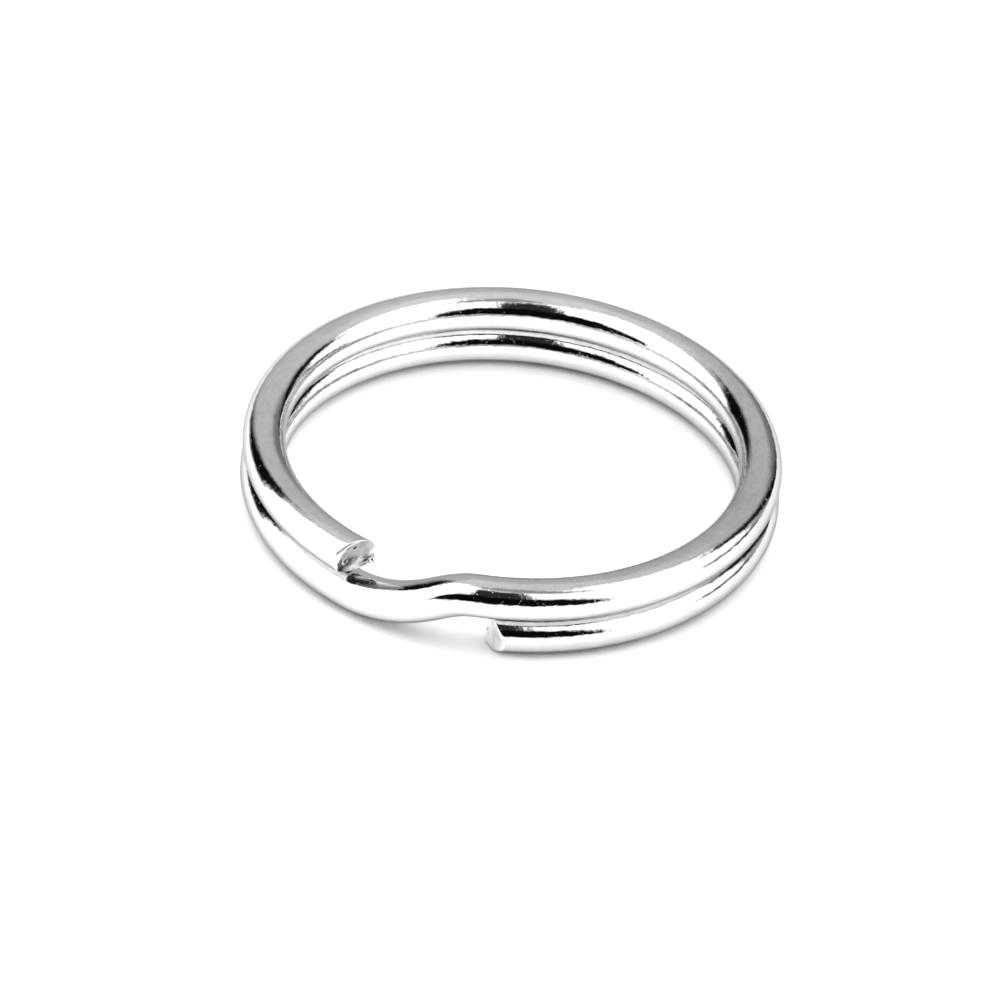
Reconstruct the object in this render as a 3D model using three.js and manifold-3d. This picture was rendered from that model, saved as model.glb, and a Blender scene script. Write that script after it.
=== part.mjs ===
// Split key ring: one length of round spring steel wire, wound into two turns that lie on each other.
//
// Millimetres, +Z up. The origin is the ring's centre, on the plane that the ring lies on.
// The wire starts at its upper free end, at the front left. It runs clockwise, seen from above, round the
// upper turn, steps down through the crossover, and runs once more round the lower turn to its lower free end.
// A place along the wire is its turn angle: degrees round the ring from the middle of the upper end's face.
//
// Each free end springs away from the turn beside it, which bends the half turn next to that end.
// The wire is divided there into short stretches, with a narrow slit at each place where it bends.

import * as THREE from 'three';
import { mergeVertices } from 'three/addons/utils/BufferGeometryUtils.js';
import Module from 'manifold-3d';

// Ring and wire
const ringOuterDiameter = 25;
const wireDiameter = 2;
const coilGap = 0.04; // clearance between the two turns
const coilOffset = 0.175; // each turn's centre is this far off the origin, the upper one to -Y, the lower to +Y

// Places round the ring, in degrees: 0 is the front (-Y), and 90 is the right (+X)
const upperEndPlace = -36.3;
const lowerEndPlace = 0.4;

// The crossover's two bends, in degrees before the place where the second turn begins
const upperBendPlace = -8.8;
const lowerBendPlace = -26.3;
const upperBendHalfSpan = 3.9;
const lowerBendHalfSpan = 9.7;

// How the flexing half turns are divided
const stretchAngle = 60;
const stretchesPerHalfTurn = 3;
const slitWidth = 0.1;

// The cut ends: each face leans outwards, so that the inside of the wire is the longest
const endFaceLean = 24;

// Facets: the wire's section has flats at its top, bottom, inside and outside
const sectionSides = 16;
const facetStep = 5; // degrees of turn between sections
const crossoverFacetStep = 2.5;

// Worked out from the above
const wireRadius = wireDiameter / 2;
const windingRadius = ringOuterDiameter / 2 - wireRadius;
const lowerHeight = wireRadius;
const upperHeight = wireRadius + wireDiameter + coilGap;
const slitAngle = THREE.MathUtils.radToDeg(slitWidth / windingRadius);
const upperBend = upperEndPlace - (upperBendPlace - 360);
const lowerBend = upperEndPlace - (lowerBendPlace - 360);
const crossoverStart = upperBend - upperBendHalfSpan;
const crossoverEnd = lowerBend + lowerBendHalfSpan;
const wireEnd = upperEndPlace - (lowerEndPlace - 720);
const upperRoot = stretchAngle * stretchesPerHalfTurn;
const lowerRoot = wireEnd - stretchAngle * stretchesPerHalfTurn;

const manifold = await Module();
manifold.setup();

// 0 before a bend, rising at one degree per degree after it, with a parabola across the bend
function roundedRamp(angle, halfSpan) {
  if (angle <= -halfSpan) return 0;
  if (angle >= halfSpan) return angle;
  return (angle + halfSpan) ** 2 / (4 * halfSpan);
}

// How far the wire has come down from the upper turn, from 0 to 1
function descent(turn) {
  const afterUpperBend = roundedRamp(turn - upperBend, upperBendHalfSpan);
  const afterLowerBend = roundedRamp(turn - lowerBend, lowerBendHalfSpan);
  return (afterUpperBend - afterLowerBend) / (lowerBend - upperBend);
}

function wirePoint(turn) {
  const place = THREE.MathUtils.degToRad(upperEndPlace - turn);
  const down = descent(turn);
  return new THREE.Vector3(
    windingRadius * Math.sin(place),
    -windingRadius * Math.cos(place) - coilOffset * (1 - 2 * down),
    upperHeight + (lowerHeight - upperHeight) * down,
  );
}

// The direction out of the ring at a turn angle
function outward(turn) {
  const place = THREE.MathUtils.degToRad(upperEndPlace - turn);
  return new THREE.Vector3(Math.sin(place), -Math.cos(place), 0);
}

// The direction along the level wire, towards the upper free end
function towardsUpperEnd(turn) {
  const place = THREE.MathUtils.degToRad(upperEndPlace - turn);
  return new THREE.Vector3(Math.cos(place), Math.sin(place), 0);
}

// The wire's centre line between two turn angles
class WireLine extends THREE.Curve {
  constructor(from, to) {
    super();
    this.from = from;
    this.to = to;
  }

  getPoint(fraction, target = new THREE.Vector3()) {
    return target.copy(wirePoint(THREE.MathUtils.lerp(this.from, this.to, fraction)));
  }
}

function wireSection() {
  const cornerRadius = wireRadius / Math.cos(Math.PI / sectionSides);
  const corners = [];
  for (let side = 0; side < sectionSides; side += 1) {
    const angle = ((side + 0.5) * 2 * Math.PI) / sectionSides;
    corners.push(new THREE.Vector2(cornerRadius * Math.cos(angle), cornerRadius * Math.sin(angle)));
  }
  return new THREE.Shape(corners);
}

function wireGeometry(from, to, step = facetStep) {
  return new THREE.ExtrudeGeometry(wireSection(), {
    steps: Math.ceil((to - from) / step),
    extrudePath: new WireLine(from, to),
  });
}

function toSolid(geometry) {
  const bare = geometry.clone();
  bare.deleteAttribute('normal');
  bare.deleteAttribute('uv');
  const merged = mergeVertices(bare, 1e-4);
  return new manifold.Manifold(
    new manifold.Mesh({
      numProp: 3,
      vertProperties: new Float32Array(merged.getAttribute('position').array),
      triVerts: new Uint32Array(merged.getIndex().array),
    }),
  );
}

function toGeometry(solid) {
  const mesh = solid.getMesh();
  const geometry = new THREE.BufferGeometry();
  geometry.setAttribute('position', new THREE.BufferAttribute(mesh.vertProperties, 3));
  geometry.setIndex(new THREE.BufferAttribute(mesh.triVerts, 1));
  geometry.computeVertexNormals();
  return geometry;
}

// Takes away everything beyond the plane through a point, on the side that the normal points to
function cutOff(geometry, point, normal) {
  const side = 4 * wireDiameter;
  const cutter = new THREE.BoxGeometry(side, side, side);
  cutter.translate(side / 2, 0, 0);
  const turnToNormal = new THREE.Quaternion().setFromUnitVectors(new THREE.Vector3(1, 0, 0), normal);
  cutter.applyQuaternion(turnToNormal);
  cutter.translate(point.x, point.y, point.z);
  return toGeometry(toSolid(geometry).subtract(toSolid(cutter)));
}

// The normal of a cut end: along the wire, leaning out of the ring
function endFaceNormal(turn, alongWire) {
  const lean = THREE.MathUtils.degToRad(endFaceLean);
  return alongWire.multiplyScalar(Math.cos(lean)).addScaledVector(outward(turn), Math.sin(lean));
}

const ring = new THREE.Group();

function addPiece(name, geometry) {
  const plate = new THREE.MeshStandardMaterial({ color: 0xc6c8ca, metalness: 1, roughness: 0.16 });
  const piece = new THREE.Mesh(geometry, plate);
  piece.name = name;
  ring.add(piece);
}

// The stretch with the upper free end, from its leaning cut face to the first slit
function addUpperEnd() {
  const overrun = facetStep;
  const whole = wireGeometry(-overrun, stretchAngle - slitAngle / 2);
  addPiece('upper_end', cutOff(whole, wirePoint(0), endFaceNormal(0, towardsUpperEnd(0))));
}

// The stretch with the lower free end, from the last slit to its leaning cut face
function addLowerEnd() {
  const overrun = facetStep;
  const whole = wireGeometry(wireEnd - stretchAngle + slitAngle / 2, wireEnd + overrun);
  const alongWire = towardsUpperEnd(wireEnd).negate();
  addPiece('lower_end', cutOff(whole, wirePoint(wireEnd), endFaceNormal(wireEnd, alongWire)));
}

// The flexing stretches behind each end, numbered from the free end
function addFlexingStretches() {
  for (let number = 1; number < stretchesPerHalfTurn; number += 1) {
    const near = number * stretchAngle + slitAngle / 2;
    const far = (number + 1) * stretchAngle - slitAngle / 2;
    addPiece(`upper_arc_${number}`, wireGeometry(near, far));
    addPiece(`lower_arc_${number}`, wireGeometry(wireEnd - far, wireEnd - near));
  }
}

// The stiff middle of the wire: the rest of the upper turn, the step down, and the start of the lower turn
function addMiddle() {
  addPiece('upper_turn', wireGeometry(upperRoot + slitAngle / 2, crossoverStart - slitAngle / 2));
  addPiece(
    'crossover',
    wireGeometry(crossoverStart + slitAngle / 2, crossoverEnd - slitAngle / 2, crossoverFacetStep),
  );
  addPiece('lower_turn', wireGeometry(crossoverEnd + slitAngle / 2, lowerRoot - slitAngle / 2));
}

addUpperEnd();
addFlexingStretches();
addMiddle();
addLowerEnd();

export default ring;
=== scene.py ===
"""A split key ring: one length of nickel plated spring wire in two touching turns, on a pale studio floor."""

import math

import bpy
import numpy as np
from mathutils import Matrix, Vector, noise


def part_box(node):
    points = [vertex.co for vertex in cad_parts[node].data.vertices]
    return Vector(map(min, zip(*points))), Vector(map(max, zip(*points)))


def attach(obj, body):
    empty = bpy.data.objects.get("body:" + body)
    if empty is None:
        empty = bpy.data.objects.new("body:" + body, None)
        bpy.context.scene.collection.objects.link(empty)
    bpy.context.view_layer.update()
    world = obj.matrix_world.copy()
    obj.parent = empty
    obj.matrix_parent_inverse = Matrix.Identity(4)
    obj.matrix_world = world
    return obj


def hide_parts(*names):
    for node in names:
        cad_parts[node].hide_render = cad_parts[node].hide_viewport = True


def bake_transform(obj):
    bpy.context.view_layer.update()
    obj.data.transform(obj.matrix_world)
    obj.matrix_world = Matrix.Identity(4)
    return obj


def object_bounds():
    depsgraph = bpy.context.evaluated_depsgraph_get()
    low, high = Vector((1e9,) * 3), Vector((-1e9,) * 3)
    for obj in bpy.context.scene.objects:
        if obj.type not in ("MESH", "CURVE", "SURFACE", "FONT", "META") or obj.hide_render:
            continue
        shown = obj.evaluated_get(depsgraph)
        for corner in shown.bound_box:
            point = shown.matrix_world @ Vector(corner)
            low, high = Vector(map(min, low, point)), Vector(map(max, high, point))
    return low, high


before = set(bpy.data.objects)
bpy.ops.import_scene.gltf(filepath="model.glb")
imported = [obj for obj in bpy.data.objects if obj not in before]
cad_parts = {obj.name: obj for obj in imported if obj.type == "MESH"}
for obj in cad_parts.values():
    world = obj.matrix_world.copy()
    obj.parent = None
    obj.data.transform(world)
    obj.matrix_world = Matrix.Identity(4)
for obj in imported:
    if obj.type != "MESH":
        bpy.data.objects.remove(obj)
cad_low, cad_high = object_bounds()

MM = 0.001

# The wire's line, as the CAD part has it
lower_low, lower_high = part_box("lower_turn")
upper_low, upper_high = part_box("upper_turn")
WIRE_RADIUS = (lower_high.z - lower_low.z) / 2
WINDING_RADIUS = 11.5 * MM
LOWER_HEIGHT = lower_low.z + WIRE_RADIUS
UPPER_HEIGHT = upper_low.z + WIRE_RADIUS
COIL_OFFSET = 0.175 * MM  # the upper turn is this far forward of the origin, the lower this far back

# Places round the ring in degrees: 0 is the front (-Y) and 90 the right (+X).
# A turn angle counts degrees along the wire from the upper free end.
UPPER_END_PLACE = -36.3
LOWER_END_PLACE = 0.4
UPPER_BEND = UPPER_END_PLACE - (-8.8 - 360)
LOWER_BEND = UPPER_END_PLACE - (-26.3 - 360)
UPPER_BEND_HALF_SPAN = 3.9
LOWER_BEND_HALF_SPAN = 9.7
WIRE_END = UPPER_END_PLACE - (LOWER_END_PLACE - 720)
STRETCH = 60  # degrees between hinges
BEND_MARGIN = 4  # degrees at each end of a stretch that stay stiff

# The mesh
SIDES = 96
RING_STEP = 1.2
END_SPAN = 5  # degrees of turn over which the rings lean from square to the cut face
END_RINGS = 12
FACE_RINGS = 36
ROLL_RINGS = 6
INNERMOST_RING = 0.01  # the last ring on a face, as a share of the first

# The cut ends, in millimetres, with angles round the wire in degrees: 0 is out of the ring and 90 is up
# Each pit's angle, distance from the wire's middle, width, depth, and length round the wire
TORN_PITS = (
    (76, 0.64, 0.05, 0.03, 0.06),
    (55, 0.8, 0.035, 0.02, 0.12),
    (-12, 0.84, 0.05, 0.03, 0.05),
    (-17, 0.48, 0.06, 0.03, 0.1),
    (20, 0.62, 0.04, 0.012, 0.05),
    (214, 0.64, 0.055, 0.035, 0.08),
)
TORN_PIT_DEPTH = 0.025  # a pit of this depth is painted black, as painted shade
# a pit of this depth on the lower end is painted black, as painted shade
PINCHED_PIT_DEPTH = 0.15
PINCHED_TWIST = 18

# How far the skin is drawn over the edge of each cut: at least, how much more, and where the most is
TORN_ROLL = (0.06, 0.12, 25)
PINCHED_ROLL = (0.08, 0.16, 240)

# The picture
CAMERA_ELEVATION = math.radians(35.7)
CAMERA_ROLL = math.radians(5.1)
CAMERA_DISTANCE = 1.0
VIEW_WIDTH = 46.27 * MM
VIEW_CENTRE = (-0.38 * MM, 0.127 * MM)  # how far the view's centre is from the ring's, to its right and up
SENSOR = 36


# The wire's line

def rounded_ramp(angle, half_span):
    """0 before a bend and rising by one for one after it, with a parabola across the bend."""
    bend = (angle + half_span) ** 2 / (4 * half_span)
    return np.where(angle <= -half_span, 0, np.where(angle >= half_span, angle, bend))


def wire_points(turn):
    place = np.radians(UPPER_END_PLACE - turn)
    fall = rounded_ramp(turn - UPPER_BEND, UPPER_BEND_HALF_SPAN)
    fall = fall - rounded_ramp(turn - LOWER_BEND, LOWER_BEND_HALF_SPAN)
    fall = fall / (LOWER_BEND - UPPER_BEND)
    x = WINDING_RADIUS * np.sin(place)
    y = -WINDING_RADIUS * np.cos(place) - COIL_OFFSET * (1 - 2 * fall)
    z = UPPER_HEIGHT + (LOWER_HEIGHT - UPPER_HEIGHT) * fall
    return np.stack([x, y, z], -1)


def wire_frames(turn):
    """The centre, the direction back along the wire, out of the ring, and up, at each turn angle."""
    centre = wire_points(turn)
    back = wire_points(turn - 0.05) - wire_points(turn + 0.05)
    back /= np.linalg.norm(back, axis=-1, keepdims=True)
    place = np.radians(UPPER_END_PLACE - turn)
    out = np.stack([np.sin(place), -np.cos(place), np.zeros_like(place)], -1)
    out -= back * (out * back).sum(-1, keepdims=True)
    out /= np.linalg.norm(out, axis=-1, keepdims=True)
    return centre, back, out, np.cross(out, back)


def arc_length(turn):
    return np.radians(turn) * WINDING_RADIUS


class Rings:
    """Rings of points round the wire, collected from one end of a piece to the other."""

    def __init__(self):
        self.points = []
        self.coords = []
        self.painted_shades = []
        self.angles = np.arange(SIDES) * 2 * math.pi / SIDES

    def add(self, turn, radius=WIRE_RADIUS, painted_shade=0.0):
        """A ring at a turn angle. The turn angle, radius and painted shade may differ round the ring."""
        turn = np.broadcast_to(np.asarray(turn, float), self.angles.shape)
        centre, back, out, up = wire_frames(turn)
        across = radius * np.cos(self.angles)
        above = radius * np.sin(self.angles)
        self.points.append(centre + out * across[:, None] + up * above[:, None])
        self.coords.append(np.stack([arc_length(turn), across, above], -1) / MM)
        self.painted_shades.append(np.broadcast_to(painted_shade, self.angles.shape))


# The cut ends
# A face's height is in millimetres beyond the wire's nominal end, at a place across the wire in millimetres.

def fracture(across, above, seed):
    """The grain of a sheared face, from broad steps to fine crystals."""
    height = np.zeros(across.shape)
    for index in np.ndindex(across.shape):
        place = Vector((across[index], above[index], seed))
        broad = noise.noise(place * 1.3)
        medium = noise.noise(place * 3.4)
        fine = noise.noise(place * 9)
        height[index] = 0.6 * broad + 0.3 * medium + 0.1 * fine
    return height


def bump_at(across, above, angle, distance, width, height, length=None):
    """A round bump or, with a negative height, a dent. With a length it is drawn out round the wire."""
    angle = math.radians(angle)
    outward = across * math.cos(angle) + above * math.sin(angle) - distance
    sideways = above * math.cos(angle) - across * math.sin(angle)
    return height * np.exp(-((outward / width) ** 2 + (sideways / (length or width)) ** 2) / 2)


def smooth_step(value, edge, softness):
    return 1 / (1 + np.exp(-(value - edge) / softness))


def torn_face(across, above):
    """The upper end: sheared, with its low side torn away, a rough inner half, pits and a small burr."""
    from_middle = np.hypot(across, above)
    lean = 0.12 - 0.39 * across + 0.13 * above - 0.05 * np.sin(math.pi * across)
    bite = bump_at(across, above, 262, 1.02, 0.4, -0.26, 0.46)
    lip = smooth_step(across * 0.9 + above * 0.45, 0.5, 0.04)
    rough_side = smooth_step(above * 0.7 - across * 0.7, 0.05, 0.1)
    grain = (0.015 + 0.035 * rough_side) * (1 - lip) * fracture(across, above, 3.0)
    burr = bump_at(across, above, 210, 0.94, 0.08, 0.25) + bump_at(across, above, 198, 0.98, 0.1, 0.08)
    pits = 0
    for angle, distance, width, depth, length in TORN_PITS:
        pits = pits + bump_at(across, above, angle, distance, width, -depth, length)
    pits = pits * smooth_step(-from_middle, -0.9, 0.012)
    # The second value is painted shade: pits are painted black and the rough side a little grey.
    return lean + bite + 0.03 * lip + grain + burr + pits, 0.2 * rough_side - pits / TORN_PIT_DEPTH


def pinched_face(across, above):
    """The lower end: pinched off, a little twisted, with a rounded low inner corner."""
    twist = math.radians(PINCHED_TWIST)
    turned_x = across * math.cos(twist) - above * math.sin(twist)
    turned_y = across * math.sin(twist) + above * math.cos(twist)
    lean = 0.32 - 0.42 * across - 0.17 * (turned_x ** 2 - turned_y ** 2)
    grain = 0.05 * fracture(across, above, 8.0)
    pits = bump_at(across, above, 92, 0.7, 0.08, -0.14, 0.12) + bump_at(across, above, 215, 0.6, 0.07, -0.06)
    # The second value is painted shade: its pits are painted black.
    return lean + grain + pits, -pits / PINCHED_PIT_DEPTH


def roll_radius(angles, face):
    """How far the plated skin is drawn over the edge of the cut, round the wire."""
    least, more, most_at = TORN_ROLL if face is torn_face else PINCHED_ROLL
    return MM * (least + more * np.clip(np.cos(angles - math.radians(most_at)), 0, 1))


def add_cut_end(rings, end_turn, sign, face, body_turn):
    """Rings from the wire's body to the middle of a cut face, and how many they are.

    sign is 1 at the wire's start and -1 at its end.
    """
    roll = roll_radius(rings.angles, face)
    made = []

    def add(radius, lowering):
        # Each face gives its height and its painted shade.
        height, painted_shade = face(radius * np.cos(rings.angles) / MM, radius * np.sin(rings.angles) / MM)
        turn = end_turn - sign * np.degrees((height * MM - lowering) / WINDING_RADIUS)
        made.append((turn, radius, painted_shade))

    rim = np.full(SIDES, WIRE_RADIUS)
    add(rim, roll)
    edge_turn = made.pop()[0]
    for step in range(1, END_RINGS + 1):
        made.append((body_turn + (edge_turn - body_turn) * step / END_RINGS, rim, 0.0))
    for step in range(1, ROLL_RINGS + 1):
        angle = math.pi / 2 * step / ROLL_RINGS
        add(rim - roll * (1 - math.cos(angle)), roll * (1 - math.sin(angle)))
    for step in range(1, FACE_RINGS + 1):
        add((rim - roll) * max(1 - step / FACE_RINGS, INNERMOST_RING), 0)
    for turn, radius, painted_shade in made if sign < 0 else reversed(made):
        rings.add(turn, radius, painted_shade)
    return len(made)


# Pieces

def wire_mesh(name, start, end, face_at_start=None, face_at_end=None):
    """A closed length of wire between two turn angles, with a flat end or a cut face at each end."""
    rings = Rings()
    body_start, body_end = start, end
    start_count = end_count = 0
    if face_at_start:
        body_start = start + END_SPAN
        start_count = add_cut_end(rings, start, 1, face_at_start, body_start)
    if face_at_end:
        body_end = end - END_SPAN
    steps = math.ceil((body_end - body_start) / RING_STEP)
    for turn in np.linspace(body_start, body_end, steps + 1):
        rings.add(turn)
    if face_at_end:
        end_count = add_cut_end(rings, end, -1, face_at_end, body_end)
    return mesh_from_rings(name, rings, start_count, end_count)


def mesh_from_rings(name, rings, start_count, end_count):
    count = len(rings.points)
    points = np.concatenate(rings.points)
    quads = []
    for ring in range(count - 1):
        for side in range(SIDES):
            after = (side + 1) % SIDES
            a, b = ring * SIDES + side, ring * SIDES + after
            quads.append((a, b, b + SIDES, a + SIDES))
    faces = list(quads)
    faces.append(tuple(reversed(range(SIDES))))
    faces.append(tuple(range((count - 1) * SIDES, count * SIDES)))
    mesh = bpy.data.meshes.new(name)
    mesh.from_pydata(points.tolist(), [], faces)
    mesh.polygons.foreach_set("use_smooth", [True] * len(quads) + [False, False])
    coords = mesh.attributes.new("wire_place", "FLOAT_VECTOR", "POINT")
    coords.data.foreach_set("vector", np.concatenate(rings.coords).astype(np.float32).ravel())
    # Painted shade on the cut faces, for the sheared steel's colour.
    painted_shades = mesh.attributes.new("painted_shade", "FLOAT", "POINT")
    painted_shades.data.foreach_set("value", np.concatenate(rings.painted_shades).astype(np.float32))
    cut_rings = np.zeros(count, bool)
    cut_rings[:max(0, start_count - END_RINGS)] = True
    cut_rings[count - max(0, end_count - END_RINGS):] = end_count > 0
    mesh.materials.append(plate)
    mesh.materials.append(bare_steel)
    on_face = [int(cut_rings[r] and cut_rings[r + 1]) for r in range(count - 1) for _ in range(SIDES)]
    on_face += [int(start_count > 0), int(end_count > 0)]
    mesh.polygons.foreach_set("material_index", on_face)
    set_seam_normals(mesh, rings, start_count == 0, end_count == 0)
    piece = bpy.data.objects.new(name, mesh)
    bpy.context.scene.collection.objects.link(piece)
    return piece


def set_seam_normals(mesh, rings, at_start, at_end):
    """Gives the rings where two pieces meet the round wire's own normals, so that no seam shows."""
    last = len(rings.points) - 1
    wanted = {}
    for ring, seam in ((0, at_start), (last, at_end)):
        if seam:
            centre = rings.points[ring].mean(0)
            for side in range(SIDES):
                wanted[ring * SIDES + side] = rings.points[ring][side] - centre
    normals = [(0, 0, 0)] * len(mesh.loops)
    for polygon in mesh.polygons:
        for loop in polygon.loop_indices:
            vertex = mesh.loops[loop].vertex_index
            if vertex in wanted:
                normal = Vector(wanted[vertex]) if polygon.use_smooth else polygon.normal
                normals[loop] = tuple(normal.normalized())
    mesh.normals_split_custom_set(normals)


# Node helpers

class Number:
    """A number worked out by shader nodes."""

    def __init__(self, tree, socket):
        self.tree = tree
        self.socket = socket

    def math(self, operation, *others, clamp=False):
        node = self.tree.nodes.new("ShaderNodeMath")
        node.operation = operation
        node.use_clamp = clamp
        self.tree.links.new(self.socket, node.inputs[0])
        for index, other in enumerate(others, 1):
            connect(self.tree, other, node.inputs[index])
        return Number(self.tree, node.outputs[0])

    def __add__(self, other):
        return self.math("ADD", other)

    def __sub__(self, other):
        return self.math("SUBTRACT", other)

    def __mul__(self, other):
        return self.math("MULTIPLY", other)

    def invert(self):
        return self * -1 + 1

    def step(self, edge, softness):
        """0 below an edge and 1 above it, changing smoothly over the softness on both sides."""
        node = self.tree.nodes.new("ShaderNodeMapRange")
        node.interpolation_type = "SMOOTHSTEP"
        node.inputs["From Min"].default_value = edge - softness
        node.inputs["From Max"].default_value = edge + softness
        self.tree.links.new(self.socket, node.inputs["Value"])
        return Number(self.tree, node.outputs["Result"])

    def between(self, low, high, softness):
        return self.step(low, softness) * self.step(high, softness).invert()

    def towards(self, goal, share):
        """This number where share is 0, and goal where it is 1."""
        node = self.tree.nodes.new("ShaderNodeMix")
        connect(self.tree, share, node.inputs[0])
        connect(self.tree, self, node.inputs[2])
        connect(self.tree, goal, node.inputs[3])
        return Number(self.tree, node.outputs[0])


def connect(tree, value, socket):
    if isinstance(value, Number):
        tree.links.new(value.socket, socket)
    else:
        socket.default_value = value


def noise_at(tree, vector, scale, detail=2.0, roughness=0.5, stretch=(1, 1, 1)):
    mapping = tree.nodes.new("ShaderNodeMapping")
    mapping.inputs["Scale"].default_value = stretch
    tree.links.new(vector, mapping.inputs["Vector"])
    node = tree.nodes.new("ShaderNodeTexNoise")
    node.inputs["Scale"].default_value = scale
    node.inputs["Detail"].default_value = detail
    node.inputs["Roughness"].default_value = roughness
    tree.links.new(mapping.outputs[0], node.inputs["Vector"])
    return Number(tree, node.outputs["Fac"])


def new_material(name):
    material = bpy.data.materials.new(name)
    material.use_nodes = True
    tree = material.node_tree
    shader = tree.nodes["Principled BSDF"]
    place = tree.nodes.new("ShaderNodeAttribute")
    place.attribute_name = "wire_place"
    return material, tree, shader, place.outputs["Vector"]


def tinted(tree, share, dark, light):
    ramp = tree.nodes.new("ShaderNodeMix")
    ramp.data_type = "RGBA"
    ramp.inputs[6].default_value = (*dark, 1)
    ramp.inputs[7].default_value = (*light, 1)
    connect(tree, share, ramp.inputs[0])
    return ramp.outputs[2]


def bump(tree, height, distance, shader):
    node = tree.nodes.new("ShaderNodeBump")
    node.inputs["Strength"].default_value = 1
    node.inputs["Distance"].default_value = distance
    connect(tree, height, node.inputs["Height"])
    tree.links.new(node.outputs[0], shader.inputs["Normal"])


def plate_material():
    """Polished nickel plate over drawn wire. Its texture's places are in millimetres along the wire."""
    material, tree, shader, place = new_material("nickel_plate")
    draw_marks = noise_at(tree, place, 7, 3, 0.6, (0.05, 1, 1))
    waves = noise_at(tree, place, 1.0, 2, 0.4, (0.8, 1, 1))
    peel = noise_at(tree, place, 4.5, 3, 0.55, (0.7, 1, 1))
    smudge = noise_at(tree, place, 0.45, 3, 0.6)
    specks = noise_at(tree, place, 8, 2, 0.6).step(0.72, 0.02)
    along = tree.nodes.new("ShaderNodeSeparateXYZ")
    tree.links.new(place, along.inputs[0])
    # Painted shade: the plate is painted lighter round the back left of the ring and darker round the front
    # right, by how the light falls.
    painted_side_shade = (Number(tree, along.outputs[0]) * (MM / WINDING_RADIUS)).math("SINE")
    mottle = noise_at(tree, place, 3.2, 4, 0.7, (0.45, 1, 1))
    # The plate's colour: that painted shade, with smudges and mottle as random tone in the plate.
    mottle_and_painted_shade = painted_side_shade * -0.3 + smudge.step(0.5, 0.2) * 0.25 + mottle.step(0.5, 0.2) * 0.3 + 0.2
    colour = tinted(tree, mottle_and_painted_shade, (0.82, 0.822, 0.826), (0.6, 0.603, 0.608))
    tree.links.new(colour, shader.inputs["Base Color"])
    shader.inputs["Metallic"].default_value = 1
    shader.inputs["Specular Tint"].default_value = (0.45, 0.45, 0.46, 1)
    connect(tree, smudge * 0.07 + draw_marks * 0.05 + specks * 0.2 + 0.01, shader.inputs["Roughness"])
    bump(tree, waves * 1.3 + peel * 0.5 + draw_marks * 0.14 + specks * -0.3, 0.016 * MM, shader)
    return material


def bare_steel_material():
    """Sheared steel: bright, a little rougher on its upper half, with its pits painted black as painted shade
    and the torn face's rough side painted a little grey.
    """
    material, tree, shader, place = new_material("sheared_steel")
    grain = noise_at(tree, place, 13, 4, 0.65)
    blotch = noise_at(tree, place, 2.2, 3, 0.6).step(0.52, 0.14)
    # The attribute read here is painted shade; where it is high the colour goes to near black.
    painted_shade = tree.nodes.new("ShaderNodeAttribute")
    painted_shade.attribute_name = "painted_shade"
    painted_dark_share = Number(tree, painted_shade.outputs["Fac"]).step(0.5, 0.5)
    shade = (blotch * 0.2 + grain * 0.06).towards(1, painted_dark_share)
    colour = tinted(tree, shade, (0.97, 0.97, 0.97), (0.06, 0.06, 0.06))
    tree.links.new(colour, shader.inputs["Base Color"])
    shader.inputs["Metallic"].default_value = 1
    shader.inputs["Specular Tint"].default_value = (0.9, 0.9, 0.9, 1)
    split = tree.nodes.new("ShaderNodeSeparateXYZ")
    tree.links.new(place, split.inputs[0])
    upper_half = Number(tree, split.outputs[2]).step(0.05, 0.25)
    connect(tree, grain * 0.06 + upper_half * 0.2 + painted_dark_share * 0.2 + 0.13, shader.inputs["Roughness"])
    bump(tree, grain, 0.004 * MM, shader)
    return material


# Studio

# Brightness of each part of the studio
FLAG = 0.004
SOFT_BOX = 1.8
WALL = 0.61
WALL_TOP = 0.82
WALL_SHADE = 0.25
LOW_GAP = 0.09
CEILING = 0.39
COLUMN = 0.03
BACKDROP = 1.05
SKY_LIGHT = 16  # watts
SKY_LIGHT_SIZE = 1.6
SKY_LIGHT_HEIGHT = 1.2

# Edges in the studio, in degrees: azimuth 0 is the front (-Y) and 90 the right (+X), and elevation is above
# the floor. Each is a low edge, a high edge and their softness, or one edge and its softness.
WALL_TOP_EDGE = (52, 10)
SOFT_BOX_SIDES = (-113, 114, 3)
SOFT_BOX_TOP = (76, 3)
LOW_GAP_SIDES = (86, 118, 5)
LOW_GAP_TOP = (8, 4)
LEFT_FLAG_HEIGHT = (3, 52, 4)
RIGHT_FLAG_HEIGHT = (-2, 42, 5)
WALL_SHADE_SIDES = (138, 166, 8)
WALL_SHADE_HEIGHT = (-15, 24, 8)
CEILING_SIDES = (-25, 60, 10)
COLUMN_SIDES = (-21, 15, 4)
COLUMN_HEIGHT = (30, 70, 5)
CAMERA_GAP_SIDES = (-61, 43, 3)
CAMERA_GAP_TOP = (36, 4)


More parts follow.
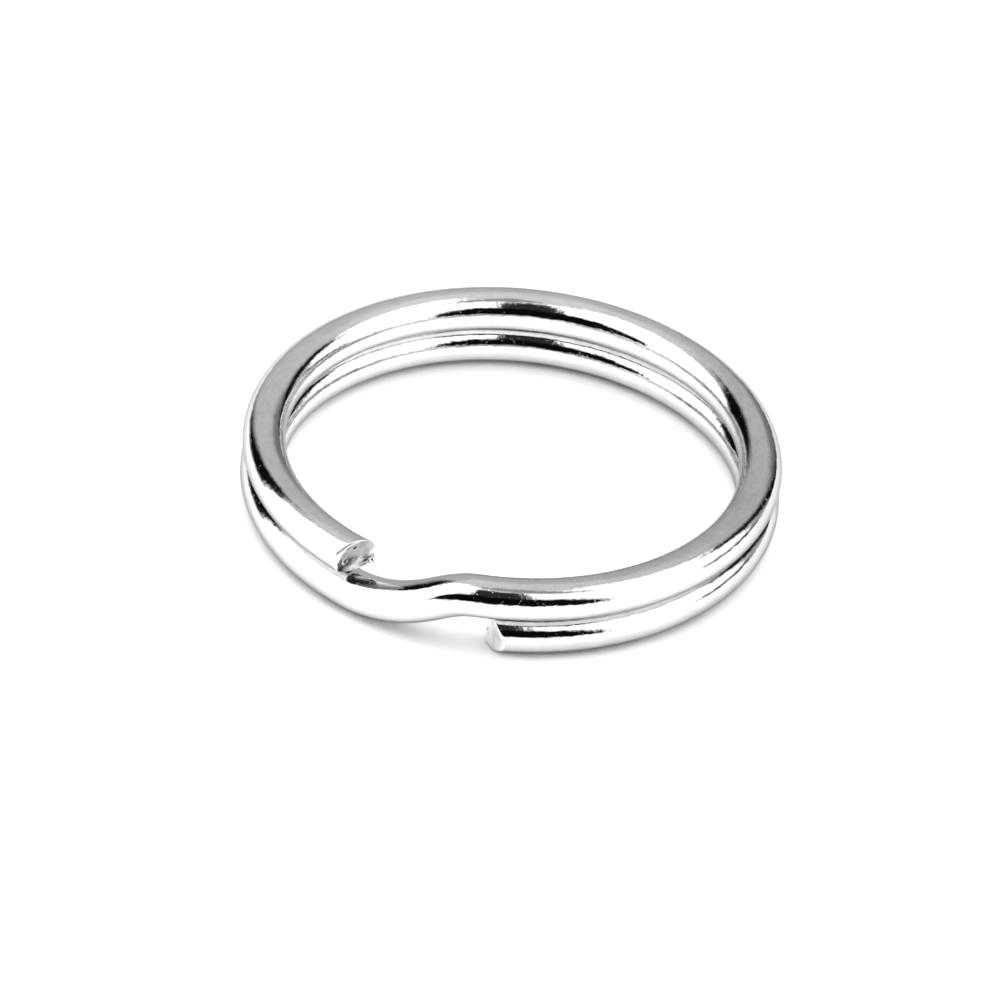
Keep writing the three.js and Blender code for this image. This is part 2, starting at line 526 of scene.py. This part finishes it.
def build_studio():
    """Big soft boxes all round the front, black flags beyond them and round the camera, and a grey wall."""
    world = bpy.data.worlds.new("studio")
    bpy.context.scene.world = world
    world.use_nodes = True
    tree = world.node_tree
    direction = tree.nodes.new("ShaderNodeTexCoord").outputs["Generated"]
    split = tree.nodes.new("ShaderNodeSeparateXYZ")
    tree.links.new(direction, split.inputs[0])
    x, y, z = (Number(tree, output) for output in split.outputs)
    azimuth = x.math("ARCTAN2", y * -1) * math.degrees(1)
    elevation = z.math("ARCSINE") * math.degrees(1)
    light = elevation.step(*WALL_TOP_EDGE) * (WALL_TOP - WALL) + WALL
    boxes = azimuth.between(*SOFT_BOX_SIDES)
    light = light.towards(SOFT_BOX, boxes * elevation.step(*SOFT_BOX_TOP).invert())
    low_gap = azimuth.between(*LOW_GAP_SIDES) * elevation.step(*LOW_GAP_TOP).invert()
    light = light.towards(LOW_GAP, low_gap)
    # The flags' and the gap's other edges slant
    left_flag = azimuth.step(-114, 2).invert() * (azimuth + elevation * -0.35).step(-151, 9)
    left_flag = left_flag * elevation.between(*LEFT_FLAG_HEIGHT)
    left_flag = left_flag * (elevation + azimuth * 0.9).step(-71, 4).invert()
    slanted = azimuth + elevation * 0.72
    right_flag = slanted.step(131, 5) * slanted.step(151, 9).invert() * elevation.between(*RIGHT_FLAG_HEIGHT)
    wall_shade = azimuth.between(*WALL_SHADE_SIDES) * elevation.between(*WALL_SHADE_HEIGHT)
    light = light.towards(WALL_SHADE, wall_shade)
    ceiling = (elevation + azimuth * 0.2).step(72, 5) * azimuth.between(*CEILING_SIDES)
    light = light.towards(CEILING, ceiling)
    column = azimuth.between(*COLUMN_SIDES) * elevation.between(*COLUMN_HEIGHT)
    light = light.towards(COLUMN, column)
    camera_gap = azimuth.between(*CAMERA_GAP_SIDES) * elevation.step(*CAMERA_GAP_TOP).invert()
    camera_gap = camera_gap * (azimuth + elevation * 0.7).step(54, 6).invert()
    camera_gap = camera_gap * (azimuth + elevation * -1.3).step(-82, 5)
    camera_gap = camera_gap * (azimuth + elevation * 5).step(-38, 8)
    for dark in (left_flag, right_flag, camera_gap):
        light = light.towards(FLAG, dark)
    paths = tree.nodes.new("ShaderNodeLightPath")
    light = light.towards(BACKDROP, Number(tree, paths.outputs["Is Camera Ray"]))
    background = tree.nodes["Background"]
    tree.links.new(light.socket, background.inputs["Color"])
    build_overhead_light()


def build_overhead_light():
    """A wide soft light over the floor, which the metal doesn't reflect."""
    data = bpy.data.lights.new("overhead", "AREA")
    data.shape = "DISK"
    data.size = SKY_LIGHT_SIZE
    data.energy = SKY_LIGHT
    lamp = bpy.data.objects.new("overhead", data)
    lamp.location = (0, 0, SKY_LIGHT_HEIGHT)
    lamp.visible_glossy = False
    bpy.context.scene.collection.objects.link(lamp)


def build_floor():
    side = 3.0
    mesh = bpy.data.meshes.new("floor")
    corners = [(-side, -side, 0), (side, -side, 0), (side, side, 0), (-side, side, 0)]
    mesh.from_pydata(corners, [], [(0, 1, 2, 3)])
    floor = bpy.data.objects.new("floor", mesh)
    floor.location.z = cad_low.z - 0.01 * MM
    bpy.context.scene.collection.objects.link(floor)
    material = bpy.data.materials.new("pale_floor")
    material.use_nodes = True
    shader = material.node_tree.nodes["Principled BSDF"]
    shader.inputs["Base Color"].default_value = (0.93, 0.93, 0.93, 1)
    shader.inputs["Roughness"].default_value = 0.6
    shader.inputs["Specular IOR Level"].default_value = 0.2
    mesh.materials.append(material)


def build_camera():
    data = bpy.data.cameras.new("camera")
    data.sensor_width = SENSOR
    data.lens = SENSOR * CAMERA_DISTANCE / VIEW_WIDTH
    data.clip_start = 0.01
    data.clip_end = 20
    camera = bpy.data.objects.new("camera", data)
    bpy.context.scene.collection.objects.link(camera)
    back = Vector((0, -math.cos(CAMERA_ELEVATION), math.sin(CAMERA_ELEVATION)))
    level_right = Vector((1, 0, 0))
    level_up = back.cross(level_right)
    right = level_right * math.cos(CAMERA_ROLL) + level_up * math.sin(CAMERA_ROLL)
    up = back.cross(right)
    turned = Matrix((right, up, back)).transposed().to_4x4()
    centre = level_right * VIEW_CENTRE[0] + level_up * VIEW_CENTRE[1]
    camera.matrix_world = Matrix.Translation(centre + back * CAMERA_DISTANCE) @ turned
    bpy.context.scene.camera = camera


def point_at(turn):
    return tuple(float(value) for value in wire_points(np.array(float(turn))))


def bend_over_joint(piece, hinge_turn):
    """Bakes the piece's transform into its mesh. The wire's points at both ends of the span round the hinge
    are worked out but not used.
    """
    half_span = STRETCH / 2 - BEND_MARGIN
    start = point_at(hinge_turn - half_span)
    end = point_at(hinge_turn + half_span)
    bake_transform(piece)


def finish_piece(piece, *nodes):
    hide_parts(*nodes)


def build_ring():
    half = STRETCH / 2
    upper_bodies = ["upper_end", "upper_arc_1", "upper_arc_2", "middle_turn"]
    lower_bodies = ["middle_turn", "lower_arc_2", "lower_arc_1", "lower_end"]
    for number, (before, after) in enumerate(zip(upper_bodies, upper_bodies[1:]), 1):
        start = 0 if number == 1 else number * STRETCH - half
        face = torn_face if number == 1 else None
        piece = wire_mesh(f"upper_wire_{number}", start, number * STRETCH + half, face_at_start=face)
        bend_over_joint(piece, number * STRETCH)
        finish_piece(piece, before)
    for number, (before, after) in enumerate(zip(lower_bodies, lower_bodies[1:])):
        hinge = WIRE_END - (3 - number) * STRETCH
        end = WIRE_END if number == 2 else hinge + half
        face = pinched_face if number == 2 else None
        piece = wire_mesh(f"lower_wire_{3 - number}", hinge - half, end, face_at_end=face)
        bend_over_joint(piece, hinge)
        finish_piece(piece, after)
    middle = wire_mesh("middle_wire", 3 * STRETCH + half, WIRE_END - 3 * STRETCH - half)
    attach(middle, "middle_turn")
    finish_piece(middle, "upper_turn", "crossover", "lower_turn")


plate = plate_material()
bare_steel = bare_steel_material()
build_ring()
build_studio()
build_floor()
build_camera()
bpy.context.scene.view_settings.view_transform = "Standard"
